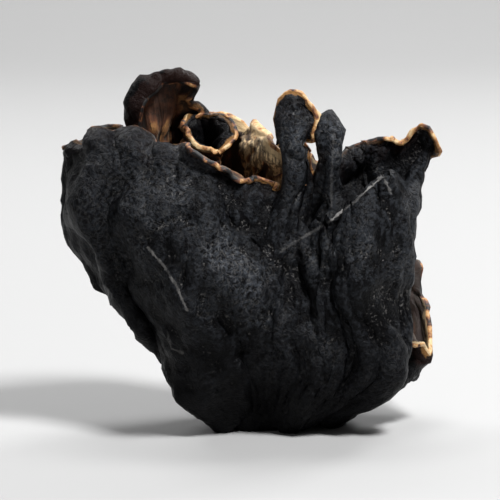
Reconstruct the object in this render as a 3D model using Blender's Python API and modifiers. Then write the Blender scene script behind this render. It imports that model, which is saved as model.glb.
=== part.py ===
"""Dried wood ear mushroom, grown as one piece: a thin leathery sheet, rolled into a crumpled
funnel with curled and frilled rims, over a short root that is cut off flat.

It stands on the cut, at z = 0, and on the lowest of its folds. The front is towards -Y, and
the origin is the middle of the cut. Tables and functions work in millimetres; the mesh is
made in metres.
"""

import math
from collections import namedtuple

import bmesh
import bpy
import numpy as np
from mathutils import Vector, noise

MM = 0.001

# The sheet and its root
SHEET = 1.2  # thickness of the dried sheet
ROOT_RADIUS = 6.0  # the neck where it grew on the wood
ROOT_FLESH = 2.4  # how much thicker the flesh is over the root
FLOOR_WIDTH = 0.84  # the floor of the hollow over the root, as a share of the sheet's width
ROOT_RISE = 1.6  # the sheet's height just outside the neck
ROOT_RIPPLE = 0.1  # how far the neck is from round
SLOW_WAVES = 7  # the flesh over the root follows only so many waves around it
FLESH_TO = 0.38  # share of the way to the rim where the thick flesh ends
FLESH_FADE = 0.2  # share of the way over which it thins out
FIRST_FOLD = math.pi  # direction of the first fold, seen from above; the others go on from it
TOE = 0.56  # where a fold touches down, as a share of the way out to its first point
NECK = 0.5  # how far the neck reaches from the root towards that touch
TOE_LIFT = 0.6  # the sheet's middle over the fold's foot there

# Pleats that run out from the root
PLEATS = 13
PLEAT_DEPTH = 2.0
PLEAT_ROUND = 0.05  # how round the outer ridge of a pleat is; 0 is sharp
PLEAT_UPRIGHT = 0.3  # pleats press in sideways more than upwards

# Ripples along the rim
FRILL_LENGTH = 8.5
FRILL_DEPTH = 2.1
FRILL_FROM = 0.72  # share of the way from the root to the rim
FRILL_SWAY = 0.3  # how far the ripples lean along the rim

# Crumpling as it dried: size and depth of the bends, then of the dents between sharp ridges
BENDS = ((15.0, 2.6, 12), (6.5, 0.9, 22))
DENTS = ((12.0, 2.2, 1), (5.0, 0.5, 2))
DENT_LIFT = 0.8
DENT_CAP = 0.6  # the middle of a dent is flat from here on
DENT_STRETCH = 0.55  # dents are this much shorter around than they are high
CRUMPLE_FROM = 0.08  # share of the way to the rim where the crumpling starts
CRUMPLE_RISE = 0.25  # and over which it grows

# The faceted solid
AROUND = 300
ALONG = 56
CURL_RINGS = 12
VOXEL = 0.42
TRIANGLES = 9400
LINE_STEPS = 400  # steps along a fold's curve when its length is measured
BELOW_CUT = 1.0  # flesh below the cut, which the flat cut takes away
CUTTER = 120.0

Fold = namedtuple("Fold", "name foot curl curl_length frill points")

# The folds, in order around the root. foot is the height at which a fold turns up from the
# root, and points lead from there to the rim. curl is how far the rim rolls, in degrees:
# outwards when it is positive, towards the hollow when negative. curl_length is how much of the
# sheet rolls, and frill is how strongly the rim ripples there, from 0 to 1.
FOLDS = (
    # Front wall, left to right
    Fold("left end", 9, -60, 3, 0.4, (
        (-23, 1, 20), (-30, 0, 31), (-33.5, -1, 40), (-34, -1, 48.5))),
    Fold("left front", 6, -60, 3.5, 0.3, (
        (-21, -6, 18), (-28, -8, 30), (-31.5, -9, 41), (-30, -7.5, 53))),
    Fold("left valley", 3, -70, 4, 0.2, (
        (-18, -7, 16), (-24, -8, 29), (-27, -8.5, 41), (-26, -7, 51.5))),
    Fold("left crest", 1, -100, 4, 0.1, (
        (-16, -11, 14), (-20.5, -13, 28), (-22.5, -14, 41), (-21, -10.5, 50.5))),
    Fold("mid crest", 0, -40, 3, 0.1, (
        (-12.5, -13.5, 13), (-15.5, -18, 28), (-16, -16, 42), (-15.5, -11, 50.5))),
    Fold("falling crest", 2, 90, 3, 0.3, (
        (-8.5, -14.5, 14), (-10, -20, 28), (-10.5, -16.5, 41), (-10.5, -11.5, 49.5))),
    Fold("notch left", 4, 100, 3, 0.3, (
        (-5, -14, 15), (-6, -20, 28), (-6.5, -15.5, 38), (-6, -10, 47.5))),
    Fold("notch", 5, 30, 2.5, 0.3, (
        (-2, -13.5, 15), (-2.5, -19, 28), (-3, -14.5, 37), (-2.2, -9.5, 46.8))),
    Fold("stalk", 4, 40, 2, 0.1, (
        (1.5, -12, 14), (1, -16, 28), (1.4, -13, 38), (3, -10, 46.5))),
    Fold("horn rise", 2, -40, 2, 0, (
        (4.2, -12.5, 13), (3.8, -14, 28), (4.9, -11.8, 41),
        (5.4, -10, 50), (4.6, -9.8, 55.5), (5, -9.6, 59.6))),
    Fold("horn", 1, 130, 3, 0, (
        (6.5, -13.5, 13), (6, -12.5, 28), (5.9, -10.8, 43),
        (5.7, -10.3, 50.5), (6.6, -10.2, 57), (9.2, -10, 59.4))),
    Fold("horn fall", 0, 20, 1.2, 0, (
        (8.6, -14.5, 13), (7.8, -12, 28), (6.7, -10.2, 41.5), (6.2, -9.8, 49), (6.4, -9.7, 53.4))),
    Fold("between horns", 0, 0, 1, 0, (
        (10.6, -14.5, 13), (10, -14, 27), (9.5, -12.6, 35.5), (9.3, -10.8, 39), (9.2, -9.6, 46))),
    Fold("black horn", 1, -170, 2.5, 0, (
        (12.8, -14.5, 13), (12.4, -15, 27), (12.4, -14, 37),
        (12.2, -11.3, 39), (12.3, -10.5, 46), (12.5, -10.5, 57))),
    Fold("black horn side", 1, -60, 2, 0.1, (
        (15.1, -14.5, 13), (14, -15.5, 27), (13.6, -14.2, 38),
        (13.2, -9.5, 38.6), (12.9, -7.5, 42.5), (12.8, -6.5, 47))),
    Fold("crease", 2, -30, 3, 0.4, (
        (17.5, -14, 13), (16, -16.5, 27), (15.6, -14.8, 39.4),
        (15.6, -6.5, 38.3), (15.8, -2.5, 43), (16.6, -1.5, 49))),
    Fold("flap rise", 3, 0, 3, 0.4, (
        (20, -13.5, 12), (18, -17.2, 27), (17.5, -15.2, 41),
        (17.7, -6, 38.4), (18.8, -0.5, 43), (19.2, 1, 49.5))),
    Fold("flap", 2, 75, 3.4, 0.3, (
        (22.5, -12, 12), (20.6, -16.5, 27), (19.8, -15.7, 41.5), (20, -12.4, 44.4),
        (20.5, -5, 40), (22, 0, 45), (22.3, 1.5, 50.4))),
    Fold("flap peak", 1, 110, 3.3, 0.1, (
        (24.5, -9.5, 12), (23.3, -13, 27), (22.2, -14.2, 43), (22.5, -11, 46.2),
        (23.4, -5.4, 41), (24.8, 0.5, 46), (25.6, 1.5, 51.2))),
    Fold("spike", 0, 90, 3, 0.1, (
        (25.5, -6.5, 11), (25.2, -10, 24), (24.2, -10.5, 36),
        (24.8, -6.4, 41), (26.8, -2.5, 45.5), (31, -1, 53.4))),
    # Right end, where the rim dips
    Fold("right edge", 1, 10, 2, 0.1, (
        (26, -3.5, 10), (25.5, -7, 21), (24.4, -6.5, 31), (24.8, -3.5, 38), (26.8, -1.5, 44.4))),
    Fold("right elbow", 1, 50, 3, 0.1, (
        (26.5, -1, 9.5), (24.6, -5, 18), (22.8, -6, 27), (22.6, -4.9, 34.6))),
    Fold("right margin", 2, 160, 5, 0.1, (
        (26.3, 1, 9), (24.6, -2.2, 16), (22.8, -4.2, 24.6))),
    Fold("right dip", 3, 10, 2, 0.1, (
        (27.2, 4, 7), (28.2, 2, 10.5), (29.6, 0.8, 13.6))),
    Fold("right return", 3, 30, 3, 0.3, (
        (24.5, 7, 9), (27.2, 8, 14), (28, 9, 20))),
    Fold("back right edge", 1, 90, 5, 0.5, (
        (21, 9.5, 9), (25, 12, 17), (26.5, 12.5, 26))),
    # Back wall, right to left
    Fold("back right", 0, 150, 6, 0.5, (
        (17.5, 12, 9), (21.5, 15.5, 20), (22.5, 16, 31))),
    Fold("back right lobe", 0, 130, 6, 0.6, (
        (13.5, 13, 10), (16.5, 17, 23), (17.5, 16.5, 36))),
    Fold("back fold", 3, 30, 5, 0.6, (
        (10, 12, 13), (12, 14.5, 25), (12.7, 12.5, 40))),
    Fold("back trough", 5, -30, 3.5, 0.6, (
        (6.5, 10, 15), (7.3, 10, 28), (7.7, 5.5, 41), (6.7, 3.5, 49))),
    Fold("wrinkled right", 6, 20, 3.5, 0.6, (
        (3, 10, 15), (3, 10, 29), (2.5, 3, 42), (2, -1.5, 49))),
    Fold("wrinkled lobe", 5, 40, 3, 0.5, (
        (-0.3, 10.5, 15), (-0.8, 11.5, 29), (-1.1, 4, 42), (-0.9, -2.5, 51.5))),
    Fold("wrinkled left", 4, 30, 3, 0.2, (
        (-3.3, 11.5, 15), (-4, 13, 29), (-4, 10.5, 43), (-2.8, 8, 52))),
    Fold("loop neck right", 3, 0, 1.5, 0, (
        (-5.7, 12.5, 15), (-7.2, 15, 29), (-9.4, 13, 42), (-9.5, 10.5, 54))),
    Fold("loop right", 3, -20, 1.5, 0, (
        (-7.2, 12.7, 15), (-8.6, 15, 29), (-7.4, 9.3, 42), (-5.8, 2.6, 53.8))),
    Fold("loop front", 3, -20, 1.5, 0, (
        (-8.6, 12.9, 15), (-9.7, 14.5, 29), (-8.6, 6.5, 41), (-7.6, -1.5, 49.6))),
    Fold("loop left", 3, -20, 1.5, 0, (
        (-9.9, 12.8, 15), (-11.2, 14.8, 29), (-11.4, 9, 42.5), (-13.6, 1.2, 52.2))),
    Fold("loop neck left", 2, -100, 2, 0, (
        (-11.2, 12.4, 14.5), (-13, 14.5, 29), (-11.8, 13.4, 42), (-11.4, 11, 54.6))),
    Fold("curl lip", 1, -175, 3.6, 0, (
        (-12.6, 11.6, 14.5), (-15, 13.2, 29), (-15.6, 11.5, 45), (-15, 7.8, 59.5))),
    Fold("curl right", 1, -175, 3.8, 0.1, (
        (-14.3, 10.5, 15), (-17.2, 11.5, 29.5), (-17.8, 9.5, 46), (-16.4, 5.5, 63))),
    Fold("curl top", 2, -175, 3.6, 0.1, (
        (-16, 9.5, 16), (-19.6, 10, 30), (-20.6, 8, 46), (-19.8, 4.5, 63))),
    Fold("curl left", 3, -150, 3.4, 0.1, (
        (-18, 8.5, 17), (-22.5, 9, 30.5), (-23.8, 7, 45.5), (-23, 3.5, 59.5))),
    Fold("curl foot", 6, -60, 3.5, 0.3, (
        (-20, 7.5, 18), (-25.5, 8.5, 31), (-26.8, 6.5, 43.5), (-25.5, 4, 52.5))),
    Fold("back left", 8, 40, 3.5, 0.4, (
        (-22, 6, 19), (-29, 7.5, 31), (-31, 6, 42), (-30, 4, 50.5))),
    Fold("left return", 9, 30, 3, 0.4, (
        (-23, 4, 20), (-31, 4, 31), (-34, 3, 41), (-34.3, 3, 48))),
)


def curve_at(points, t, closed=False):
    """Points on the Catmull-Rom curve through the given ones; t counts them from 0."""
    points = np.asarray(points, float)
    count = len(points)
    start = np.floor(t).astype(int)
    if not closed:
        start = np.clip(start, 0, count - 2)
        first = 2 * points[0] - points[1]
        last = 2 * points[-1] - points[-2]
        points = np.vstack((first, points, last))
        near = [points[start + step] for step in range(4)]
    else:
        near = [points[(start + step) % count] for step in (-1, 0, 1, 2)]
    a, b, c, d = near
    f = (t - start)[:, None]
    square = (2 * a - 5 * b + 4 * c - d) * f**2
    cube = (3 * b - a - 3 * c + d) * f**3
    return 0.5 * (2 * b + (c - a) * f + square + cube)


def root_angle(index, fold):
    """Where a fold leaves the root: halfway between an even spread and its own direction."""
    even = FIRST_FOLD + math.tau * index / len(FOLDS)
    own = math.atan2(fold.points[0][1], fold.points[0][0]) % math.tau
    if own < FIRST_FOLD - math.radians(10):
        own += math.tau
    return (even + own) / 2


def fold_line(index, fold, count):
    """The line of one fold from the root's edge to the rim, in evenly spaced points."""
    angle = root_angle(index, fold)
    ripple = math.sin(3 * angle + 1) + 0.6 * math.sin(5 * angle)
    radius = ROOT_RADIUS * (1 + ROOT_RIPPLE * ripple)
    root = radius * np.array((math.cos(angle), math.sin(angle)))
    toe = TOE * np.array(fold.points[0][:2])
    neck = root + NECK * (toe - root)
    neck_height = ROOT_RISE + fold.foot / 4
    start = ((*root, 0), (*neck, neck_height), (*toe, fold.foot + TOE_LIFT))
    points = np.array(start + fold.points, float)
    line = curve_at(points, np.linspace(0, len(points) - 1, LINE_STEPS))
    steps = np.linalg.norm(np.diff(line, axis=0), axis=1)
    run = np.concatenate(((0,), np.cumsum(steps)))
    even = np.linspace(0, run[-1], count)
    return np.stack([np.interp(even, run, line[:, axis]) for axis in range(3)], axis=1)


def unit(vectors):
    """The vectors at length one."""
    length = np.linalg.norm(vectors, axis=-1, keepdims=True)
    return vectors / np.maximum(length, 1e-9)


def outward(grid):
    """The outside normal at every point of a grid that is closed around."""
    around = np.roll(grid, -1, 0) - np.roll(grid, 1, 0)
    along = np.gradient(grid, axis=1)
    return unit(np.cross(around, along))


def pleat(grid, turn):
    """Press in the pleats, uneven in width and depth: sharp outside, round between, and gone
    by mid height."""
    wander = 0.35 * np.sin(math.tau * 2 * turn + 0.6) + 0.3 * np.sin(math.tau * 5 * turn + 2)
    phase = math.pi * (PLEATS * turn + wander)
    shape = 1 - 1.6 * np.sqrt(np.sin(phase) ** 2 + PLEAT_ROUND)
    size = 0.75 + 0.35 * np.sin(math.tau * 3 * turn + 1)
    share = np.linspace(0, 1, grid.shape[1])
    rise = np.clip((share - 0.05) / 0.2, 0, 1) * np.clip((0.55 - share) / 0.33, 0, 1) ** 1.3
    side = outward(grid)
    side[..., 2] *= PLEAT_UPRIGHT
    depth = PLEAT_DEPTH * (shape * size)[:, None] * rise
    return grid + depth[..., None] * side


def curl_rim(grid, degrees, length, rings):
    """Roll the sheet on past its rim, along an arc of each fold's own turn and length."""
    rim = grid[:, -1]
    around = unit(np.roll(rim, -1, 0) - np.roll(rim, 1, 0))
    up = rim - grid[:, -3]
    up = unit(up - (up * around).sum(1)[:, None] * around)
    out = np.cross(around, up)
    angle = np.radians(degrees)
    angle = np.where(np.abs(angle) < 0.05, 0.05, angle)
    radius = length / angle
    rolled = []
    for ring in range(1, rings + 1):
        turned = angle * ring / rings
        rise = (radius * np.sin(turned))[:, None] * up
        swing = (radius * (1 - np.cos(turned)))[:, None] * out
        rolled.append(rim + rise + swing)
    return np.concatenate((grid, np.stack(rolled, axis=1)), axis=1)


def frill(grid, rim_ring, turn, strength):
    """Ripple the sheet near its rim, more and more towards the edge."""
    rim = grid[:, rim_ring]
    steps = np.linalg.norm(np.diff(rim, axis=0), axis=1)
    run = np.concatenate(((0,), np.cumsum(steps)))
    waves = round(run[-1] / FRILL_LENGTH)
    drift = 1.2 * np.sin(math.tau * 5 * turn) + 0.8 * np.sin(math.tau * 3 * turn + 1)
    phase = math.tau * waves * run / run[-1] + drift
    share = np.linspace(0, 1, grid.shape[1])
    grow = np.clip((share - FRILL_FROM) / (1 - FRILL_FROM), 0, 1) ** 1.4
    depth = FRILL_DEPTH * np.maximum(strength, 0)[:, None] * grow
    across = unit(np.roll(grid, -1, 0) - np.roll(grid, 1, 0))
    moved = grid + (depth * np.sin(phase)[:, None])[..., None] * outward(grid)
    return moved + (FRILL_SWAY * depth * np.sin(2 * phase)[:, None])[..., None] * across


def loft(around, along, rings):
    """The smooth middle of the sheet: around x (along + rings) points, from root to rim."""
    lines = np.array([fold_line(index, fold, along) for index, fold in enumerate(FOLDS)])
    turn = np.arange(around) / around
    place = turn * len(FOLDS)
    grid = np.stack([curve_at(lines[:, ring], place, closed=True) for ring in range(along)], axis=1)
    rolls = np.array([(fold.curl, fold.curl_length, fold.frill) for fold in FOLDS], float)
    rolls = curve_at(rolls, place, closed=True)
    grid = pleat(grid, turn)
    grid = curl_rim(grid, rolls[:, 0], np.maximum(rolls[:, 1], 0.5), rings)
    return frill(grid, along - 1, turn, rolls[:, 2])


def bend(points, size, depth, seed):
    """How far smooth noise of this size moves each point."""
    noise.seed_set(seed)
    flat = points.reshape(-1, 3) / size
    moved = [noise.noise_vector(Vector(point)) for point in flat]
    return depth * np.array(moved).reshape(points.shape)


def dent(points, size, seed):
    """How deep each point lies between the ridges of cells of this size: 0 on a ridge."""
    offset = np.array((3.7 * seed, -7.9 * seed, 1.3 * seed))
    cells = points.reshape(-1, 3) * (1, 1, DENT_STRETCH) / size + offset
    depth = np.empty(len(cells))
    for place, cell in enumerate(cells):
        near = noise.voronoi(Vector(cell))[0]
        depth[place] = min(near[1] - near[0], DENT_CAP)
    return depth.reshape(points.shape[:-1])


def crumple(grid):
    """Bend and dent the sheet as it shrank in drying, but not at the root."""
    share = np.linspace(0, 1, grid.shape[1])
    grow = np.clip((share - CRUMPLE_FROM) / CRUMPLE_RISE, 0, 1)
    moved = grid + grow[:, None] * sum(bend(grid, *bends) for bends in BENDS)
    depth = DENT_LIFT - sum(deep * dent(grid, size, seed) for size, deep, seed in DENTS)
    return moved + (grow * depth)[..., None] * outward(moved)


def smooth_around(grid):
    """The grid without its pleats: only the slow waves around the root are kept."""
    waves = np.fft.rfft(grid, axis=0)
    order = np.arange(len(waves))[:, None, None]
    return np.fft.irfft(waves * np.exp(-((order / SLOW_WAVES) ** 2)), n=len(grid), axis=0)


def skins(grid):
    """The outside and the inside of the sheet, with the thick flesh over the root."""
    outside = grid + SHEET / 2 * outward(grid)
    inside = grid - SHEET / 2 * outward(grid)
    share = np.linspace(0, 1, grid.shape[1])
    fleshy = np.clip((FLESH_TO - share) / FLESH_FADE, 0, 1)
    fleshy = (fleshy**2 * (3 - 2 * fleshy))[:, None]
    plain = smooth_around(grid)
    floor = plain - (SHEET / 2 + ROOT_FLESH) * outward(plain)
    floor[..., :2] *= FLOOR_WIDTH
    floor[..., 2] = np.maximum(floor[..., 2], ROOT_FLESH)
    inside = (1 - fleshy) * inside + fleshy * floor
    return outside, inside


def shell_mesh(outside, inside):
    """The closed skin of the sheet, in metres: both sides, the rim and the two ends."""
    around, along = outside.shape[:2]
    points = np.concatenate((outside.reshape(-1, 3), inside.reshape(-1, 3))) * MM
    far = around * along
    faces = []
    for column in range(around):
        here, there = column * along, (column + 1) % around * along
        for ring in range(along - 1):
            a, b, c, d = here + ring, there + ring, there + ring + 1, here + ring + 1
            faces.append((a, b, c, d))
            faces.append((far + d, far + c, far + b, far + a))
        edge, next_edge = here + along - 1, there + along - 1
        faces.append((edge, next_edge, far + next_edge, far + edge))
    faces.append([column * along for column in reversed(range(around))])
    faces.append([far + column * along for column in range(around)])
    mesh = bpy.data.meshes.new("ear_skin")
    mesh.from_pydata(points.tolist(), [], faces)
    return mesh


def evaluated_copy(thing, name):
    """A mesh of what the object's modifiers make of it."""
    bpy.context.view_layer.update()
    depsgraph = bpy.context.evaluated_depsgraph_get()
    mesh = bpy.data.meshes.new_from_object(thing.evaluated_get(depsgraph))
    mesh.name = name
    return mesh


def keep_largest_body(mesh):
    """Delete what closed folds leave inside: every loose piece but the largest."""
    work = bmesh.new()
    work.from_mesh(mesh)
    seen = set()
    bodies = []
    for start in work.verts:
        if start in seen:
            continue
        seen.add(start)
        body = [start]
        for vert in body:
            for edge in vert.link_edges:
                other = edge.other_vert(vert)
                if other not in seen:
                    seen.add(other)
                    body.append(other)
        bodies.append(body)
    bodies.sort(key=len)
    for body in bodies[:-1]:
        bmesh.ops.delete(work, geom=body, context="VERTS")
    work.to_mesh(mesh)
    work.free()


def solid_from_skin(skin_mesh, collection):
    """One closed faceted body, with folds that touch grown together, and the flat cut."""
    skin = bpy.data.objects.new("ear_skin", skin_mesh)
    collection.objects.link(skin)
    remesh = skin.modifiers.new("one body", "REMESH")
    remesh.mode = "VOXEL"
    remesh.voxel_size = VOXEL * MM
    body_mesh = evaluated_copy(skin, "fruit_body")
    bpy.data.objects.remove(skin)
    keep_largest_body(body_mesh)
    body = bpy.data.objects.new("fruit_body", body_mesh)
    collection.objects.link(body)
    fewer = body.modifiers.new("facets", "DECIMATE")
    fewer.ratio = TRIANGLES / (2 * len(body_mesh.polygons))
    return body


def cut_flat(body, cutters):
    """Cut the body off flat at z = 0."""
    size = CUTTER * MM
    bpy.ops.mesh.primitive_cube_add(size=size, location=(0, 0, -size / 2))
    block = bpy.context.object
    block.name = "below_the_cut"
    for owner in list(block.users_collection):
        owner.objects.unlink(block)
    cutters.objects.link(block)
    block.hide_render = True
    block.display_type = "WIRE"
    cut = body.modifiers.new("flat cut", "BOOLEAN")
    cut.operation = "DIFFERENCE"
    cut.object = block


def leathery_black():
    """The finish of the dried outside."""
    material = bpy.data.materials.new("dried_black_skin")
    material.use_nodes = True
    shader = material.node_tree.nodes["Principled BSDF"]
    shader.inputs["Base Color"].default_value = (0.022, 0.021, 0.022, 1)
    shader.inputs["Roughness"].default_value = 0.55
    shader.inputs["Metallic"].default_value = 0
    return material


def main():
    for thing in list(bpy.data.objects):
        bpy.data.objects.remove(thing)
    ear = bpy.data.collections.new("dried_wood_ear")
    cutters = bpy.data.collections.new("cutters")
    bpy.context.scene.collection.children.link(ear)
    bpy.context.scene.collection.children.link(cutters)

    outside, inside = skins(crumple(loft(AROUND, ALONG, CURL_RINGS)))
    outside[:, 0, 2] = -BELOW_CUT
    body = solid_from_skin(shell_mesh(outside, inside), ear)
    body.data.materials.append(leathery_black())
    cut_flat(body, cutters)


if __name__ == "__main__":
    main()
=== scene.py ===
"""Dried wood ear mushroom: the finished sheet with its two faces and its rim, the stage, the
light and the camera.

The sheet is made again from the same folds as the solid, on a finer grid, with the wrinkles,
the nicked rim and the two faces of the real thing: black and leathery outside, velvety and
tan inside. Tables and functions work in millimetres; the meshes are made in metres.
"""

import math
from collections import namedtuple
from functools import reduce

import bpy
import numpy as np
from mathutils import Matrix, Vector, noise
from mathutils.bvhtree import BVHTree


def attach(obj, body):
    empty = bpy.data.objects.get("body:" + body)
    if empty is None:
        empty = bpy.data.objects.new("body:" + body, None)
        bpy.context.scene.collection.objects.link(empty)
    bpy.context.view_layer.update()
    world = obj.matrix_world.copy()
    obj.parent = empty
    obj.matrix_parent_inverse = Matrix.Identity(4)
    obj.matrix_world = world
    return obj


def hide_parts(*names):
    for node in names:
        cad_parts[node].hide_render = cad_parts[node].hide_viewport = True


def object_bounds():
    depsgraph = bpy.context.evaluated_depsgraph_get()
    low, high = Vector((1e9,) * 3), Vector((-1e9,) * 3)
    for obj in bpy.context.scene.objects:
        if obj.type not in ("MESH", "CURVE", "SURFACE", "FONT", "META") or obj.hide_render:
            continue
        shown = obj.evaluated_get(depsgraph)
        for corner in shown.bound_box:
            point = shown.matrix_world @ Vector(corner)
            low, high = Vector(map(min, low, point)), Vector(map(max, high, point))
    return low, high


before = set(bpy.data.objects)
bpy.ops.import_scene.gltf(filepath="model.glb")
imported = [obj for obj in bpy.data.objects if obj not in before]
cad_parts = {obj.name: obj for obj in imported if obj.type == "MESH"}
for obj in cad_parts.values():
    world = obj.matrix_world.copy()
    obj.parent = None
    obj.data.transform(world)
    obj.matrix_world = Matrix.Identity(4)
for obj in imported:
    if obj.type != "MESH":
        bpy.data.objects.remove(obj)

CAD_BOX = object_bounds()
MM = 0.001

# The sheet and its root
SHEET = 1.2  # thickness of the dried sheet
ROOT_RADIUS = 6.0  # the neck where it grew on the wood
ROOT_FLESH = 2.4  # how much thicker the flesh is over the root
FLOOR_WIDTH = 0.84  # the floor of the hollow over the root, as a share of the sheet's width
ROOT_RISE = 1.6  # the sheet's height just outside the neck
ROOT_RIPPLE = 0.1  # how far the neck is from round
SLOW_WAVES = 7  # the flesh over the root follows only so many waves around it
FLESH_TO = 0.38  # share of the way to the rim where the thick flesh ends
FLESH_FADE = 0.2  # share of the way over which it thins out
FIRST_FOLD = math.pi  # direction of the first fold, seen from above; the others go on from it
TOE = 0.56  # where a fold touches down, as a share of the way out to its first point
NECK = 0.5  # how far the neck reaches from the root towards that touch
TOE_LIFT = 0.6  # the sheet's middle over the fold's foot there

# Pleats that run out from the root
PLEATS = 13
PLEAT_DEPTH = 2.0
PLEAT_SWING = 1.6  # from its ridge to its hollow, as a share of that depth
PLEAT_ROUND = 0.05  # how round the outer ridge of a pleat is; 0 is sharp
PLEAT_USUAL = 0.75  # the usual share of the full depth, which waves up and down around
PLEAT_UPRIGHT = 0.3  # pleats press in sideways more than upwards
PLEAT_UNEVEN = ((0.35, 3, 1),)  # waves around: how far, how many, where they start
PLEAT_WANDER = ((0.35, 2, 0.6), (0.3, 5, 2))
PLEATS_FROM, PLEATS_RISE = 0.05, 0.2  # shares of the way to the rim: start, and over how much
PLEATS_TO, PLEATS_FADE = 0.55, 0.33  # end, and over how much

# Ripples along the rim
FRILL_LENGTH = 8.5
FRILL_DEPTH = 2.1
FRILL_FROM = 0.72  # share of the way from the root to the rim
FRILL_SWAY = 0.3  # how far the ripples lean along the rim
FRILL_DRIFT = ((1.2, 5, 0), (0.8, 3, 1))  # waves around, as for the pleats
LEAST_CURL = 0.5  # at least this much of the sheet rolls at the rim
LEAST_TURN = 0.05  # and it turns by at least this angle, in radians

# Crumpling as it dried: size and depth of the bends, then of the dents between sharp ridges
BENDS = ((15.0, 2.6, 12), (6.5, 0.9, 22))
DENTS = ((12.0, 2.2, 1), (5.0, 0.5, 2))
DENT_LIFT = 0.8  # the ridges between the dents stand out this far
DENT_CAP = 0.6  # the middle of a dent is flat from here on
DENT_STRETCH = 0.55  # dents are this much shorter around than they are high
CRUMPLE_FROM = 0.08  # share of the way to the rim where the crumpling starts
CRUMPLE_RISE = 0.25  # and over which it grows

# The finished sheet's grid
AROUND = 480
ALONG = 76
CURL_RINGS = 14
EDGE_RINGS = 3  # rings that round the edge between the two faces
DISC_RINGS = 5  # rings that close the cut and the floor of the hollow
DISC_HOLE = 0.1  # radius of the innermost one, in steps between them
LINE_STEPS = 400  # steps along a fold's curve when its length is measured
LAID_ROUND = 40.0  # radius of the sheet when it is laid out as a plain tube
LAID_HIGH = 75.0

# Folds sharpen as the sheet shrinks in drying
SHRINK_REACH = 7  # half the width, in grid points, of the folds that sharpen
SHRINK = 0.45  # how far they sharpen, as a share of what stands out

# Fine relief: size around, how far it is drawn out towards the rim, depth, octaves, seed
CREASES = ((5.2, 2.6, 0.6, 3, 3), (2.6, 1.8, 0.3, 2, 5))  # both faces, along the sheet
COCKLES = (4.2, 1, 0.55, 2, 7)  # both faces, in every direction
GRAIN = (1.7, 1, 0.09, 2, 9)  # the outer face alone
RIBS = (1.9, 4.0, 0.16, 2, 11)  # the inner face alone, from root to rim
LOBE_RIBS = (1.6, 7.0, 1.3, 1, 13)  # the deep ribs of the wrinkled lobe
LOBE_FROM, LOBE_RISE = 0.6, 0.2  # shares of the way to the rim
LEVEL = 0.4  # what stands out over this share of a wrinkle is raised, the rest is sunk
RELIEF_FROM = 0.05  # share of the way to the rim where the relief starts
RELIEF_RISE = 0.16  # and over which it grows

# The rim: thin, nicked and in places torn
RIM_SHEET = 0.72  # thickness at the rim
RIM_THINS = 5.0  # the sheet thins over this length
NICK_REACH = 9.0  # how far in from the rim the sheet is drawn back
NICKS = ((6.5, 1.1, 15), (2.4, 0.5, 17))  # size along the rim, depth, seed
FOLD_REACH = 2  # the two faces part along directions smoothed over this many grid points
FEEL = 3  # half the width, in grid points, over which ridges and hollows are felt

FRONT_STEEP, FRONT_LATE = 3, 0.3  # how fast a face counts as front as it turns, and how late

# Sharp folded lines on the front, as seen from there and a little above: how far each one
# stands out, half the width of its foot, how strong the painted highlight along its top is,
# then its x and height along it
SEEN_SLOPE = math.tan(math.radians(10))  # how much lower what lies further forward is seen
FOLDED_LINES = (
    (0.6, 1.8, 0.2, ((3.5, 32.3), (7.5, 35), (12, 37.6))),
    (1.0, 1.6, 0.85, ((12, 37.6), (17, 41.8), (21.7, 46))),
    (-1.6, 2.6, 0.0, ((8, 38), (14, 42.5), (18.5, 47))),
    (0.9, 2.0, 0.4, ((21.7, 46), (23.2, 43))),
    (0.9, 2.0, 0.0, ((23.2, 43), (24, 41), (25, 33), (23.5, 25))),
    (0.8, 2.0, 0.45, ((-20.3, 33), (-18, 30.6), (-15.2, 26.5), (-13.2, 21.8))),
    (0.6, 1.6, 0.12, ((12.7, 39), (12.6, 46), (13, 54))),
    (0.5, 1.6, 0.22, ((-16.8, 17.5), (-16.2, 14.6), (-14.2, 13.8))),
)
HIGHLIGHT_WIDTH = 0.38  # half the width of a line's painted highlight
# Painted shade: where the outside is closed in, the bloom and the painted crest highlights
# are dimmed. How closed in it is, is felt along ways out from the face, each given as how far
# it leans over and how many there are around
WAYS_OUT = ((0.0, 1), (0.65, 5), (1.15, 5))
OCCLUSION_REACH = 16.0  # a fold further off does not count as closing the face in
WAYS_START = 0.3  # mm off the face
STRIPES = (1.3, 0.5, 0.12)  # dark stripes down the ribbed inside, per mm across, deep and down
DEEP_VELVET = 0.36  # further in, the velvet is equally light everywhere
DEEP_FROM, DEEP_AT = 5.0, 15.0  # mm from the rim
FAR_IN = 60.0  # what counts as its distance from the rim at the root, in mm

# Finishes of the ear, in the order of its material slots
BLACK_FINISH, INNER_FINISH, RIM_FINISH, CUT_FINISH = range(4)
SHARP = 62  # degrees; a crease sharper than this stays sharp
BLACK = (0.0013, 0.0012, 0.0015, 1)
BLOOM = (0.046, 0.051, 0.060, 1)
MARGIN_BROWN = (0.018, 0.007, 0.005, 1)
# painted highlight on the crests, and the grey of the fine wrinkle lines
HIGHLIGHT_AND_LINE_GREY = (0.30, 0.29, 0.28, 1)
DUST = (0.23, 0.22, 0.21, 1)
RED_BROWN = (0.013, 0.0045, 0.003, 1)
CHESTNUT = (0.15, 0.052, 0.022, 1)
OCHRE = (0.42, 0.21, 0.07, 1)
CREAM = (0.66, 0.48, 0.26, 1)
DARK_SPOT = (0.012, 0.007, 0.005, 1)
PITH = (0.33, 0.22, 0.13, 1)
VELVET_COLOURS = ((0.0, RED_BROWN), (0.36, CHESTNUT), (0.68, OCHRE), (1.0, CREAM))
RIM_COLOURS = ((0.1, BLACK), (0.35, CHESTNUT), (0.6, OCHRE), (0.95, CREAM))

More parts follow.
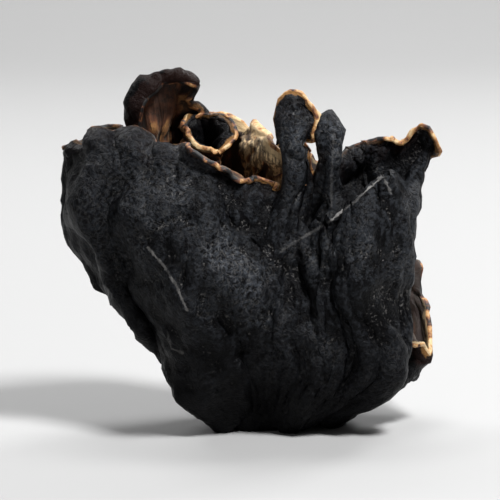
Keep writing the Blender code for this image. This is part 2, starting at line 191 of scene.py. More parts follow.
# Patches on the finishes: size, how much they cover, how soft their edges are
BLOOM_REGIONS = (16.0, 0.45, 0.12)
BLOOM_FLECKS = (0.8, 0.42, 0.16)
DUST_SPECKS = (0.5, 0.25, 0.05)
VELVET_FLECKS = (0.8, 0.3, 0.04)
VELVET_SPOTS = (4.5, 0.3, 0.03)
CUT_THREADS = (0.9, 0.45, 0.1)
PITH_PATCHES = (5.0, 0.5, 0.15)
# Bands along the rim, outside and then inside
BROWN_BAND, PALE_BAND = 5.0, 0.7
SPOTTED_BAND, OUTLINE_BAND = 9.0, 1.9

DUSTY_HOLLOWS = (-0.05, -0.25)  # mm below what is around: where dust starts, where it is full
# What thins the bloom and the painted crest highlights, all but the margin as painted shade: from,
# to, and how much stays at the one and the other
MARGIN_REACH = (3.0, 13.0, 1.0, 0.0)  # mm from the rim
BLOOM_BY_MARGIN = (0.1, 0.8, 1.0, 0.1)
# painted shade: the bloom is dimmed where the outer face is closed in
PAINTED_SHADE_IN_RECESSES = (0.04, 0.42, 1.0, 0.06)
PAINTED_SHADE_LOW_DOWN = (2.0, 38.0, 0.06, 1.0)  # painted shade, darker low down: mm above the cut
PAINTED_SHADE_ON_LEFT = (-28.0, -8.0, 0.35, 1.0)  # painted shade, darker towards the left: mm to the right of the root
# painted shade: the painted crest highlights fade where the outer face is closed in
CREST_HIGHLIGHTS_BY_OCCLUSION = (0.3, 0.42, 1.0, 0.0)

# The camera and the stage, in metres
CAMERA_HIGH = 10  # degrees above the level
CAMERA_FAR = 0.60
LENS = 235  # mm
STAGE_NEAR, STAGE_FAR, STAGE_HIGH, STAGE_WIDE = 1.2, 0.9, 1.2, 3.0
STAGE_SWEEP, SWEEP_STEPS = 0.35, 16
STAGE_GREY = (0.40, 0.40, 0.40, 1)
STUDIO_LIGHTS = (  # each with its place, what it looks at when that isn't the ear, size and power
    ("key", (0.22, -0.26, 0.57), None, 0.13, 6.5),
    ("fill", (-0.55, -0.40, 0.22), None, 0.45, 0.35),
    ("back_right", (0.35, 0.42, 0.38), None, 0.2, 2.2),
    ("back_left", (-0.30, 0.36, 0.42), None, 0.2, 1.4),
    ("backdrop", (0, 0.35, 1.0), (0, 0.95, 0.25), 0.5, 7.0),
)
SKY = 0.055  # strength of the plain white light from all around

Fold = namedtuple("Fold", "name foot curl curl_length frill points pale brown velvet ribs",
                  defaults=(0.3, 0.12, 0.35, 0.0))

# The folds, in order around the root. foot is the height at which a fold turns up from the
# root, and points lead from there to the rim. curl is how far the rim rolls, in degrees:
# outwards when it is positive, towards the hollow when negative. curl_length is how much of the
# sheet rolls, and frill is how strongly the rim ripples there. pale is how pale the rim is, brown
# how brown the outside is near it, velvet how light the inside is near it, and ribs how deeply
# the inside is ribbed. All four of these and frill go from 0 to 1. The low velvet of the curl
# and the loop is partly painted shade.
FOLDS = (
    # Front wall, left to right
    Fold("left end", 9, -60, 3, 0.4, ((-23, 1, 20), (-30, 0, 31), (-33.5, -1, 40),
          (-34, -1, 48.5)), pale=0.1, velvet=0),
    Fold("left front", 6, -60, 3.5, 0.3, ((-21, -6, 18), (-28, -8, 30), (-31.5, -9, 41),
          (-30, -7.5, 53)), pale=0.05, velvet=0),
    Fold("left valley", 3, -70, 4, 0.2, ((-18, -7, 16), (-24, -8, 29), (-27, -8.5, 41),
          (-26, -7, 51.5)), pale=0.05),
    Fold("left crest", 1, -100, 4, 0.1, ((-16, -11, 14), (-20.5, -13, 28), (-22.5, -14, 41),
          (-21, -10.5, 50.5)), pale=0.02),
    Fold("mid crest", 0, -40, 3, 0.1, ((-12.5, -13.5, 13), (-15.5, -18, 28), (-16, -16, 42),
          (-15.5, -11, 50.5)), pale=0.02),
    Fold("falling crest", 2, 90, 3, 0.3, ((-8.5, -14.5, 14), (-10, -20, 28), (-10.5, -16.5, 41),
          (-10.5, -11.5, 49.5)), pale=0.05),
    Fold("notch left", 4, 100, 3, 0.3, ((-5, -14, 15), (-6, -20, 28), (-6.5, -15.5, 38),
          (-6, -10, 47.5)), pale=0.1),
    Fold("notch", 5, 30, 2.5, 0.3, ((-2, -13.5, 15), (-2.5, -19, 28), (-3, -14.5, 37),
          (-2.2, -9.5, 46.8))),
    Fold("stalk", 4, 40, 2, 0.1, ((1.5, -12, 14), (1, -16, 28), (1.4, -13, 38), (3, -10, 46.5)),
         pale=0.7),
    Fold("horn rise", 2, -40, 2, 0, ((4.2, -12.5, 13), (3.8, -14, 28), (4.9, -11.8, 41),
          (5.4, -10, 50), (4.6, -9.8, 55.5), (5, -9.6, 59.6)), pale=0.55, velvet=0.4),
    Fold("horn", 1, 130, 3, 0, ((6.5, -13.5, 13), (6, -12.5, 28), (5.9, -10.8, 43),
          (5.7, -10.3, 50.5), (6.6, -10.2, 57), (9.2, -10, 59.4)), pale=0.65, velvet=0.5,
         ribs=0.3),
    Fold("horn fall", 0, 20, 1.2, 0, ((8.6, -14.5, 13), (7.8, -12, 28), (6.7, -10.2, 41.5),
          (6.2, -9.8, 49), (6.4, -9.7, 53.4)), pale=0.4),
    Fold("between horns", 0, 0, 1, 0, ((10.6, -14.5, 13), (10, -14, 27), (9.5, -12.6, 35.5),
          (9.3, -10.8, 39), (9.2, -9.6, 46)), pale=0.1),
    Fold("black horn", 1, -170, 2.5, 0, ((12.8, -14.5, 13), (12.4, -15, 27), (12.4, -14, 37),
          (12.2, -11.3, 39), (12.3, -10.5, 46), (12.5, -10.5, 57)), pale=0.02),
    Fold("black horn side", 1, -60, 2, 0.1, ((15.1, -14.5, 13), (14, -15.5, 27), (13.6, -14.2, 38),
          (13.2, -9.5, 38.6), (12.9, -7.5, 42.5), (12.8, -6.5, 47)), pale=0.05),
    Fold("crease", 2, -30, 3, 0.4, ((17.5, -14, 13), (16, -16.5, 27), (15.6, -14.8, 39.4),
          (15.6, -6.5, 38.3), (15.8, -2.5, 43), (16.6, -1.5, 49)), pale=0.05),
    Fold("flap rise", 3, 0, 3, 0.4, ((20, -13.5, 12), (18, -17.2, 27), (17.5, -15.2, 41),
          (17.7, -6, 38.4), (18.8, -0.5, 43), (19.2, 1, 49.5)), pale=0.05),
    Fold("flap", 2, 75, 3.4, 0.3, ((22.5, -12, 12), (20.6, -16.5, 27), (19.8, -15.7, 41.5),
          (20, -12.4, 44.4), (20.5, -5, 40), (22, 0, 45), (22.3, 1.5, 50.4)), pale=0.15,
         brown=0.3),
    Fold("flap peak", 1, 110, 3.3, 0.1, ((24.5, -9.5, 12), (23.3, -13, 27), (22.2, -14.2, 43),
          (22.5, -11, 46.2), (23.4, -5.4, 41), (24.8, 0.5, 46), (25.6, 1.5, 51.2)), pale=0.6,
         brown=0.8, velvet=0.6),
    Fold("spike", 0, 90, 3, 0.1, ((25.5, -6.5, 11), (25.2, -10, 24), (24.2, -10.5, 36),
          (24.8, -6.4, 41), (26.8, -2.5, 45.5), (31, -1, 53.4)), velvet=0.5),
    # Right end, where the rim dips
    Fold("right edge", 1, 10, 2, 0.1, ((26, -3.5, 10), (25.5, -7, 21), (24.4, -6.5, 31),
          (24.8, -3.5, 38), (26.8, -1.5, 44.4)), pale=0.1, brown=0.8, velvet=0.3),
    Fold("right elbow", 1, 50, 3, 0.1, ((26.5, -1, 9.5), (24.6, -5, 18), (22.8, -6, 27),
          (22.6, -4.9, 34.6)), pale=0.05, brown=1, velvet=0),
    Fold("right margin", 2, 160, 5, 0.1, ((26.3, 1, 9), (24.6, -2.2, 16), (22.8, -4.2, 24.6)),
         pale=0.05, brown=1, velvet=0),
    Fold("right dip", 3, 10, 2, 0.1, ((27.2, 4, 7), (28.2, 2, 10.5), (29.6, 0.8, 13.6)), pale=0.85,
         brown=0.7, velvet=0),
    Fold("right return", 3, 30, 3, 0.3, ((24.5, 7, 9), (27.2, 8, 14), (28, 9, 20)), pale=0.05,
         brown=0.9, velvet=0),
    Fold("back right edge", 1, 90, 5, 0.5, ((21, 9.5, 9), (25, 12, 17), (26.5, 12.5, 26)),
         pale=0.05, brown=0.9, velvet=0),
    # Back wall, right to left
    Fold("back right", 0, 150, 6, 0.5, ((17.5, 12, 9), (21.5, 15.5, 20), (22.5, 16, 31)), pale=0.1,
         velvet=0.1),
    Fold("back right lobe", 0, 130, 6, 0.6, ((13.5, 13, 10), (16.5, 17, 23), (17.5, 16.5, 36))),
    Fold("back fold", 3, 30, 5, 0.6, ((10, 12, 13), (12, 14.5, 25), (12.7, 12.5, 40))),
    Fold("back trough", 5, -30, 3.5, 0.6, ((6.5, 10, 15), (7.3, 10, 28), (7.7, 5.5, 41),
          (6.7, 3.5, 49)), velvet=0.3, ribs=0.3),
    Fold("wrinkled right", 6, 20, 3.5, 0.6, ((3, 10, 15), (3, 10, 29), (2.5, 3, 42),
          (2, -1.5, 49)), pale=0.6, velvet=0.85, ribs=0.9),
    Fold("wrinkled lobe", 5, 40, 3, 0.5, ((-0.3, 10.5, 15), (-0.8, 11.5, 29), (-1.1, 4, 42),
          (-0.9, -2.5, 51.5)), pale=0.6, velvet=0.95, ribs=1),
    Fold("wrinkled left", 4, 30, 3, 0.2, ((-3.3, 11.5, 15), (-4, 13, 29), (-4, 10.5, 43),
          (-2.8, 8, 52)), pale=0.7, velvet=0.3, ribs=0.8),
    Fold("loop neck right", 3, 0, 1.5, 0, ((-5.7, 12.5, 15), (-7.2, 15, 29), (-9.4, 13, 42),
          (-9.5, 10.5, 54)), pale=0.2, velvet=0.3),
    Fold("loop right", 3, -20, 1.5, 0, ((-7.2, 12.7, 15), (-8.6, 15, 29), (-7.4, 9.3, 42),
          (-5.8, 2.6, 53.8)), velvet=0.25),
    Fold("loop front", 3, -20, 1.5, 0, ((-8.6, 12.9, 15), (-9.7, 14.5, 29), (-8.6, 6.5, 41),
          (-7.6, -1.5, 49.6)), pale=0.65),
    Fold("loop left", 3, -20, 1.5, 0, ((-9.9, 12.8, 15), (-11.2, 14.8, 29), (-11.4, 9, 42.5),
          (-13.6, 1.2, 52.2)), pale=0.4, velvet=0.25),
    Fold("loop neck left", 2, -100, 2, 0, ((-11.2, 12.4, 14.5), (-13, 14.5, 29), (-11.8, 13.4, 42),
          (-11.4, 11, 54.6)), pale=0.35, velvet=0.3),
    Fold("curl lip", 1, -175, 3.6, 0, ((-12.6, 11.6, 14.5), (-15, 13.2, 29), (-15.6, 11.5, 45),
          (-15, 7.8, 59.5)), pale=0.05, brown=0.9, ribs=0.1),
    Fold("curl right", 1, -175, 3.8, 0.1, ((-14.3, 10.5, 15), (-17.2, 11.5, 29.5),
          (-17.8, 9.5, 46), (-16.4, 5.5, 63)), pale=0, brown=0.9, velvet=0.05),
    Fold("curl top", 2, -175, 3.6, 0.1, ((-16, 9.5, 16), (-19.6, 10, 30), (-20.6, 8, 46),
          (-19.8, 4.5, 63)), pale=0, brown=0.8, velvet=0),
    Fold("curl left", 3, -150, 3.4, 0.1, ((-18, 8.5, 17), (-22.5, 9, 30.5), (-23.8, 7, 45.5),
          (-23, 3.5, 59.5)), pale=0, brown=0.7, velvet=0),
    Fold("curl foot", 6, -60, 3.5, 0.3, ((-20, 7.5, 18), (-25.5, 8.5, 31), (-26.8, 6.5, 43.5),
          (-25.5, 4, 52.5)), pale=0.05, brown=0.4, velvet=0.1),
    Fold("back left", 8, 40, 3.5, 0.4, ((-22, 6, 19), (-29, 7.5, 31), (-31, 6, 42),
          (-30, 4, 50.5)), pale=0.1, velvet=0.05),
    Fold("left return", 9, 30, 3, 0.4, ((-23, 4, 20), (-31, 4, 31), (-34, 3, 41), (-34.3, 3, 48)),
         pale=0.1, velvet=0),
)


def curve_at(points, t, closed=False):
    """Points on the Catmull-Rom curve through the given ones; t counts them from 0."""
    points = np.asarray(points, float)
    count = len(points)
    start = np.floor(t).astype(int)
    if not closed:
        start = np.clip(start, 0, count - 2)
        first = 2 * points[0] - points[1]
        last = 2 * points[-1] - points[-2]
        points = np.vstack((first, points, last))
        near = [points[start + step] for step in range(4)]
    else:
        near = [points[(start + step) % count] for step in (-1, 0, 1, 2)]
    a, b, c, d = near
    f = (t - start)[:, None]
    square = (2 * a - 5 * b + 4 * c - d) * f**2
    cube = (3 * b - a - 3 * c + d) * f**3
    return 0.5 * (2 * b + (c - a) * f + square + cube)


def root_angle(index, fold):
    """Where a fold leaves the root: halfway between an even spread and its own direction."""
    even = FIRST_FOLD + math.tau * index / len(FOLDS)
    own = math.atan2(fold.points[0][1], fold.points[0][0]) % math.tau
    if own < FIRST_FOLD - math.radians(10):
        own += math.tau
    return (even + own) / 2


def fold_line(index, fold, count):
    """The line of one fold from the root's edge to the rim, in evenly spaced points."""
    angle = root_angle(index, fold)
    ripple = math.sin(3 * angle + 1) + 0.6 * math.sin(5 * angle)
    radius = ROOT_RADIUS * (1 + ROOT_RIPPLE * ripple)
    root = radius * np.array((math.cos(angle), math.sin(angle)))
    toe = TOE * np.array(fold.points[0][:2])
    neck = root + NECK * (toe - root)
    neck_height = ROOT_RISE + fold.foot / 4
    start = ((*root, 0), (*neck, neck_height), (*toe, fold.foot + TOE_LIFT))
    points = np.array(start + fold.points, float)
    line = curve_at(points, np.linspace(0, len(points) - 1, LINE_STEPS))
    steps = np.linalg.norm(np.diff(line, axis=0), axis=1)
    run = np.concatenate(((0,), np.cumsum(steps)))
    even = np.linspace(0, run[-1], count)
    return np.stack([np.interp(even, run, line[:, axis]) for axis in range(3)], axis=1)


def unit(vectors):
    """The vectors at length one."""
    length = np.linalg.norm(vectors, axis=-1, keepdims=True)
    return vectors / np.maximum(length, 1e-9)


def outward(grid):
    """The outside normal at every point of a grid that is closed around."""
    around = np.roll(grid, -1, 0) - np.roll(grid, 1, 0)
    along = np.gradient(grid, axis=1)
    return unit(np.cross(around, along))


def growing(grid, start, over):
    """How much has grown on each ring: from 0 at this share of the way to the rim to 1."""
    return np.clip((np.linspace(0, 1, grid.shape[1]) - start) / over, 0, 1)


def fading(grid, end, over):
    """How much is left on each ring: from 1 down to 0 at this share of the way to the rim."""
    return np.clip((end - np.linspace(0, 1, grid.shape[1])) / over, 0, 1)


def waves(turn, kinds):
    """Slow waves around the root, each given as how far, how many and where it starts."""
    return sum(far * np.sin(math.tau * count * turn + start) for far, count, start in kinds)


def pleat(grid, turn):
    """Press in the pleats, uneven in width and depth: sharp outside, round between, and gone
    by mid height."""
    phase = math.pi * (PLEATS * turn + waves(turn, PLEAT_WANDER))
    shape = 1 - PLEAT_SWING * np.sqrt(np.sin(phase) ** 2 + PLEAT_ROUND)
    size = PLEAT_USUAL + waves(turn, PLEAT_UNEVEN)
    rise = growing(grid, PLEATS_FROM, PLEATS_RISE) * fading(grid, PLEATS_TO, PLEATS_FADE) ** 1.3
    side = outward(grid)
    side[..., 2] *= PLEAT_UPRIGHT
    depth = PLEAT_DEPTH * (shape * size)[:, None] * rise
    return grid + depth[..., None] * side


def curl_rim(grid, degrees, length, rings):
    """Roll the sheet on past its rim, along an arc of each fold's own turn and length."""
    rim = grid[:, -1]
    around = unit(np.roll(rim, -1, 0) - np.roll(rim, 1, 0))
    up = rim - grid[:, -3]
    up = unit(up - (up * around).sum(1)[:, None] * around)
    out = np.cross(around, up)
    angle = np.radians(degrees)
    angle = np.where(np.abs(angle) < LEAST_TURN, LEAST_TURN, angle)
    radius = length / angle
    rolled = []
    for ring in range(1, rings + 1):
        turned = angle * ring / rings
        rise = (radius * np.sin(turned))[:, None] * up
        swing = (radius * (1 - np.cos(turned)))[:, None] * out
        rolled.append(rim + rise + swing)
    return np.concatenate((grid, np.stack(rolled, axis=1)), axis=1)


def frill(grid, rim_ring, turn, strength):
    """Ripple the sheet near its rim, more and more towards the edge."""
    rim = grid[:, rim_ring]
    steps = np.linalg.norm(np.diff(rim, axis=0), axis=1)
    run = np.concatenate(((0,), np.cumsum(steps)))
    ripples = round(run[-1] / FRILL_LENGTH)
    phase = math.tau * ripples * run / run[-1] + waves(turn, FRILL_DRIFT)
    grow = growing(grid, FRILL_FROM, 1 - FRILL_FROM) ** 1.4
    depth = FRILL_DEPTH * np.maximum(strength, 0)[:, None] * grow
    across = unit(np.roll(grid, -1, 0) - np.roll(grid, 1, 0))
    moved = grid + (depth * np.sin(phase)[:, None])[..., None] * outward(grid)
    return moved + (FRILL_SWAY * depth * np.sin(2 * phase)[:, None])[..., None] * across


def loft(around, along, rings):
    """The smooth middle of the sheet: around x (along + rings) points, from root to rim."""
    lines = np.array([fold_line(index, fold, along) for index, fold in enumerate(FOLDS)])
    turn = np.arange(around) / around
    place = turn * len(FOLDS)
    grid = np.stack([curve_at(lines[:, ring], place, closed=True) for ring in range(along)], axis=1)
    rolls = np.array([(fold.curl, fold.curl_length, fold.frill) for fold in FOLDS], float)
    rolls = curve_at(rolls, place, closed=True)
    grid = pleat(grid, turn)
    grid = curl_rim(grid, rolls[:, 0], np.maximum(rolls[:, 1], LEAST_CURL), rings)
    return frill(grid, along - 1, turn, rolls[:, 2])


def bend(points, size, depth, seed):
    """How far smooth noise of this size moves each point."""
    noise.seed_set(seed)
    flat = points.reshape(-1, 3) / size
    moved = [noise.noise_vector(Vector(point)) for point in flat]
    return depth * np.array(moved).reshape(points.shape)


def dent(points, size, seed):
    """How deep each point lies between the ridges of cells of this size: 0 on a ridge."""
    offset = np.array((3.7 * seed, -7.9 * seed, 1.3 * seed))
    cells = points.reshape(-1, 3) * (1, 1, DENT_STRETCH) / size + offset
    depth = np.empty(len(cells))
    for place, cell in enumerate(cells):
        near = noise.voronoi(Vector(cell))[0]
        depth[place] = min(near[1] - near[0], DENT_CAP)
    return depth.reshape(points.shape[:-1])


def crumple(grid):
    """Bend and dent the sheet as it shrank in drying, but not at the root."""
    grow = growing(grid, CRUMPLE_FROM, CRUMPLE_RISE)
    moved = grid + grow[:, None] * sum(bend(grid, *bends) for bends in BENDS)
    depth = DENT_LIFT - sum(deep * dent(grid, size, seed) for size, deep, seed in DENTS)
    return moved + (grow * depth)[..., None] * outward(moved)


def smooth_around(grid):
    """The grid without its pleats: only the slow waves around the root are kept."""
    parts = np.fft.rfft(grid, axis=0)
    order = np.arange(len(parts))[:, None, None]
    return np.fft.irfft(parts * np.exp(-((order / SLOW_WAVES) ** 2)), n=len(grid), axis=0)


def laid_out(around, along):
    """Where each point lies when the sheet is laid out as a plain tube, in mm."""
    angle = math.tau * np.arange(around) / around
    high = LAID_HIGH * np.linspace(0, 1, along)
    flat = np.empty((around, along, 3))
    flat[..., 0] = LAID_ROUND * np.cos(angle)[:, None]
    flat[..., 1] = LAID_ROUND * np.sin(angle)[:, None]
    flat[..., 2] = high
    return flat


def wrinkles(points, kind, level=0.0):
    """How far sharp-crested wrinkles of one kind stand out over this share of their depth. On
    the laid-out sheet, their stretch draws them out towards the rim."""
    size, stretch, deep, octaves, seed = kind
    offset = np.array((5.1, -2.7, 8.3)) * seed
    places = points.reshape(-1, 3) * (1, 1, 1 / stretch) / size + offset
    made = [noise.ridged_multi_fractal(Vector(place), 1.0, 2.1, octaves, 1.0, 2.0)
            for place in places]
    made = np.array(made).reshape(points.shape[:-1])
    low, high = np.percentile(made, (4, 96))
    return deep * (np.clip((made - low) / (high - low), 0, 1) - level)


def by_fold(around, finish):
    """One finish of the folds, from 0 to 1, at each column."""
    values = np.array([getattr(fold, finish) for fold in FOLDS], float)
    place = np.arange(around) / around * len(FOLDS)
    return np.clip(curve_at(values[:, None], place, closed=True)[:, 0], 0, 1)


def smoothed(face, reach):
    """Each point moved to the middle of those within reach of it on the grid."""
    width = 2 * reach + 1
    padded = np.pad(face, ((0, 0), (reach, reach), (0, 0)), mode="reflect", reflect_type="odd")
    rows = face.shape[1]
    along = sum(padded[:, step:step + rows] for step in range(width)) / width
    return sum(np.roll(along, step, axis=0) for step in range(-reach, reach + 1)) / width


def felt_ridge(face, side, reach):
    """How far each point stands out over its neighbourhood: above 0 on ridges, in mm."""
    return ((face - smoothed(face, reach)) * side).sum(axis=2)


def shrink(grid):
    """Sharpen the folds, as the sheet does when it dries."""
    grow = growing(grid, RELIEF_FROM, RELIEF_RISE)[:, None]
    return grid + SHRINK * grow * (grid - smoothed(grid, SHRINK_REACH))


def distance_to_line(places, points):
    """How far each place is from a line through the given points."""
    points = np.array(points, float)
    nearest = np.full(places.shape[:-1], np.inf)
    for start, end in zip(points[:-1], points[1:]):
        run = end - start
        share = np.clip((places - start) @ run / (run @ run), 0, 1)
        away = places - start - share[..., None] * run
        nearest = np.minimum(nearest, np.linalg.norm(away, axis=-1))
    return nearest


def in_front(grid):
    """How much each point faces the front: 0 to 1."""
    return np.clip(-FRONT_STEEP * outward(grid)[..., 1] - FRONT_LATE, 0, 1)


def folded_lines(grid):
    """How far each point stands out on the sharp folded lines."""
    seen = np.stack((grid[..., 0], grid[..., 2] + SEEN_SLOPE * grid[..., 1]), axis=-1)
    height = np.zeros(grid.shape[:2])
    for deep, foot, _, points in FOLDED_LINES:
        height += deep * np.clip(1 - distance_to_line(seen, points) / foot, 0, 1) ** 1.5
    return in_front(grid) * height


def crease(grid, flat):
    """The fine wrinkles that both faces share."""
    depth = sum(wrinkles(flat, kind, LEVEL) for kind in CREASES) + wrinkles(grid, COCKLES, LEVEL)
    return grid + (growing(grid, RELIEF_FROM, RELIEF_RISE) * depth)[..., None] * outward(grid)


def distance_to_rim(grid):
    """How far each point is from the rim, measured along the sheet."""
    steps = np.linalg.norm(np.diff(grid, axis=1), axis=2)
    back = np.cumsum(steps[:, ::-1], axis=1)[:, ::-1]
    return np.concatenate((back, np.zeros((len(grid), 1))), axis=1)


def quads(columns, rings):
    """The faces of a grid of points that is closed around."""
    column, ring = np.meshgrid(np.arange(columns), np.arange(rings - 1), indexing="ij")
    here = column * rings + ring
    there = (column + 1) % columns * rings + ring
    return np.stack((here, there, there + 1, here + 1), axis=-1).reshape(-1, 4).tolist()


def occlusion_share(grid, face):
    """How closed in each point of the outer face is: the share of ways out that meet the sheet."""
    sheet = BVHTree.FromPolygons(grid.reshape(-1, 3).tolist(), quads(*grid.shape[:2]))
    side = outward(smoothed(grid, FOLD_REACH))
    across = unit(np.roll(grid, -1, 0) - np.roll(grid, 1, 0))
    up = np.cross(side, across)
    starts = [Vector(point) for point in (face + WAYS_START * side).reshape(-1, 3)]
    met = np.zeros(len(starts))
    for lean, count in WAYS_OUT:
        for turned in math.tau * np.arange(count) / count:
            swing = math.cos(turned) * across + math.sin(turned) * up
            ways = (math.cos(lean) * side + math.sin(lean) * swing).reshape(-1, 3)
            hits = [sheet.ray_cast(start, Vector(way), OCCLUSION_REACH)[3]
                    for start, way in zip(starts, ways)]
            met += [0.0 if far is None else 1 - far / OCCLUSION_REACH for far in hits]
    share = met.reshape(grid.shape[:2]) / sum(count for _, count in WAYS_OUT)
    return smoothed(share[..., None], 1)[..., 0]


def nick_rim(grid, flat):
    """Draw the sheet back from its old rim, in nicks of two sizes."""
    rim = flat[:, -1]
    back = np.zeros(len(grid))
    for size, deep, seed in NICKS:
        offset = Vector((seed, -seed, 0.5 * seed))
        back += [deep * max(0.0, noise.noise(Vector(point) / size + offset)) for point in rim]
    far = distance_to_rim(grid)
    made = np.empty_like(grid)
    for column in range(len(grid)):
        old = far[column, ::-1]
        near = np.clip(1 - old / NICK_REACH, 0, 1)
        new = old + back[column] * near
        for axis in range(3):
            made[column, :, axis] = np.interp(new[::-1], old, grid[column, ::-1, axis])
    return made


def skins(grid, flat):
    """The outer and the inner face, with the thin rim and the thick flesh over the root."""
    full = np.clip(distance_to_rim(grid) / RIM_THINS, 0, 1)
    full = full * (2 - full)
    half = ((RIM_SHEET + (SHEET - RIM_SHEET) * full) / 2)[..., None]
    side = outward(smoothed(grid, FOLD_REACH))
    outside = grid + half * side
    inside = grid - half * side

    growth = growing(grid, RELIEF_FROM, RELIEF_RISE)
    outside += (growth * wrinkles(outside, GRAIN))[..., None] * side
    lobe = by_fold(len(grid), "ribs")[:, None] * growing(grid, LOBE_FROM, LOBE_RISE)
    ribs = wrinkles(flat, RIBS) + lobe * wrinkles(flat, LOBE_RIBS)
    inside -= (growth * ribs)[..., None] * side

    fleshy = fading(grid, FLESH_TO, FLESH_FADE)
    fleshy = (fleshy**2 * (3 - 2 * fleshy))[:, None]
    plain = smooth_around(grid)
    floor = plain - (SHEET / 2 + ROOT_FLESH) * outward(plain)
    floor[..., :2] *= FLOOR_WIDTH
    floor[..., 2] = np.maximum(floor[..., 2], ROOT_FLESH)
    inside = (1 - fleshy) * inside + fleshy * floor
    return outside, inside


def rounded_edge(outside, inside, grid):
    """The rings that round the edge from the outer face to the inner one."""
    middle = (outside[:, -1] + inside[:, -1]) / 2
    half = (outside[:, -1] - inside[:, -1]) / 2
    along = unit(grid[:, -1] - grid[:, -2]) * np.linalg.norm(half, axis=1, keepdims=True)
    rings = []
    for ring in range(1, EDGE_RINGS + 1):
        turned = math.pi * ring / (EDGE_RINGS + 1)
        rings.append(middle + math.cos(turned) * half + math.sin(turned) * along)
    return np.stack(rings, axis=1)


def disc(ring, height):
    """Rings from the middle of a flat disc out to this ring, at this height at the middle."""
    middle = ring.mean(axis=0)
    middle[2] = height
    shares = (np.arange(DISC_RINGS) + DISC_HOLE) / DISC_RINGS
    return middle + shares[None, :, None] * (ring[:, None] - middle)


def tones(far):
    """How light the velvet is at each point of the inside, 0 to 1; dark near the rim of the curl
    and the loop partly as painted shade.
    """
    near_rim = by_fold(len(far), "velvet")[:, None]
    deep = np.clip((far - DEEP_FROM) / (DEEP_AT - DEEP_FROM), 0, 1)
    return near_rim + (DEEP_VELVET - near_rim) * deep


def facts(grid, outside, inside):
    """What the finishes need to know: each fact on the cut and the floor of the hollow, on the
    outer face, on the edge and on the inner face."""
    side = outward(grid)
    far = distance_to_rim(grid)
    tone = tones(far)
    pale, brown, ribbed = (by_fold(AROUND, finish)[:, None] for finish in ("pale", "brown", "ribs"))
    return {
        "rim_distance": (FAR_IN, far, 0.0, far),
        "ridge": (0.0, felt_ridge(outside, side, FEEL), 0.1, felt_ridge(inside, -side, FEEL)),
        "occlusion": (0.0, occlusion_share(grid, outside), 0.0, 0.0),
        "rim_brown": (0.0, brown, brown, brown),
        "in_front": (0.0, in_front(grid), 0.0, 0.0),
        "rim_pale": (0.0, pale, pale, pale),
        "tone": (0.5, tone, tone[:, -1:], tone),
        "ribbed": (0.0, 0.0, 0.0, ribbed),
    }


def ear_mesh():
    """The closed mesh of the whole ear, with what its finishes need to know at each point."""
    along = ALONG + CURL_RINGS
    flat = laid_out(AROUND, along)
    grid = shrink(crumple(loft(AROUND, ALONG, CURL_RINGS)))
    grid = grid + folded_lines(grid)[..., None] * outward(grid)
    grid = nick_rim(crease(grid, flat), flat)
    outside, inside = skins(grid, flat)
    outside[..., 2] = np.maximum(outside[..., 2], 0)
    outside[:, 0, 2] = 0
    edge = rounded_edge(outside, inside, grid)
    edge[..., 2] = np.maximum(edge[..., 2], 0)
    cut = disc(outside[:, 0], 0.0)
    floor = disc(inside[:, 0], float(inside[:, 0, 2].mean()))
    rings = (cut, outside, edge, inside[:, ::-1], floor[:, ::-1])
    points = np.concatenate(rings, axis=1)

    count = points.shape[1]
    starts = np.cumsum([0] + [part.shape[1] for part in rings])
    faces = quads(AROUND, count)
    faces.append([column * count for column in reversed(range(AROUND))])
    faces.append([column * count + count - 1 for column in range(AROUND)])
    mesh = bpy.data.meshes.new("ear_sheet")
    mesh.from_pydata((points.reshape(-1, 3) * MM).tolist(), [], faces)

    finish = np.zeros((AROUND, count - 1), int)
    finish[:, starts[2] - 1:starts[3]] = RIM_FINISH
    finish[:, starts[3]:] = INNER_FINISH
    level = points[:, :, 2] <= 1e-6
    level = level[:, :-1] & level[:, 1:]
    level &= np.roll(level, -1, axis=0)
    finish[level] = CUT_FINISH
    finish = np.append(finish.reshape(-1), (CUT_FINISH, INNER_FINISH))
    mesh.polygons.foreach_set("material_index", finish.astype(np.int32))
    mesh.shade_smooth()
    mesh.set_sharp_from_angle(angle=math.radians(SHARP))

    for name, (ends, outer, rim, inner) in facts(grid, outside, inside).items():
        parts = (ends, outer, rim, np.broadcast_to(inner, grid.shape[:2])[:, ::-1], ends)
        values = [np.broadcast_to(part, ring.shape[:2]) for part, ring in zip(parts, rings)]
        made = mesh.attributes.new(name, "FLOAT", "POINT")
        made.data.foreach_set("value", np.concatenate(values, axis=1).astype(np.float32).ravel())
    laid = np.concatenate((
        np.broadcast_to(flat[:, :1], cut.shape), flat,
        np.broadcast_to(flat[:, -1:], edge.shape), flat[:, ::-1],
        np.broadcast_to(flat[:, :1], floor.shape)), axis=1)
    made = mesh.attributes.new("laid_out", "FLOAT_VECTOR", "POINT")
    made.data.foreach_set("vector", laid.reshape(-1).astype(np.float32))
    return mesh


def tree_of(*values):
    """The node tree that these values come from."""
    return next(value.id_data for value in values if isinstance(value, bpy.types.NodeSocket))


def fill(socket, value):
    """Give a socket a value, or link it to another node's output."""
    if isinstance(value, bpy.types.NodeSocket):
        socket.id_data.links.new(value, socket)
    else:
        socket.default_value = value


def node(tree, kind, **given):
    """A new node, with its settings, in small letters, and its sockets filled by name."""
    made = tree.nodes.new("ShaderNode" + kind)
    for name, value in given.items():
        if name.islower():
            setattr(made, name, value)
        else:
            fill(made.inputs[name.replace("_", " ")], value)
    return made


def number(operation, *values, clamp=False):
    """The result of one sum."""
    made = node(tree_of(*values), "Math", operation=operation, use_clamp=clamp)
    for socket, value in zip(made.inputs, values):
        fill(socket, value)
    return made.outputs[0]


def times(*values):
    """The product of the values."""
    return reduce(lambda one, other: number("MULTIPLY", one, other), values)


def plus(*values):
    """The sum of the values."""
    return reduce(lambda one, other: number("ADD", one, other), values)


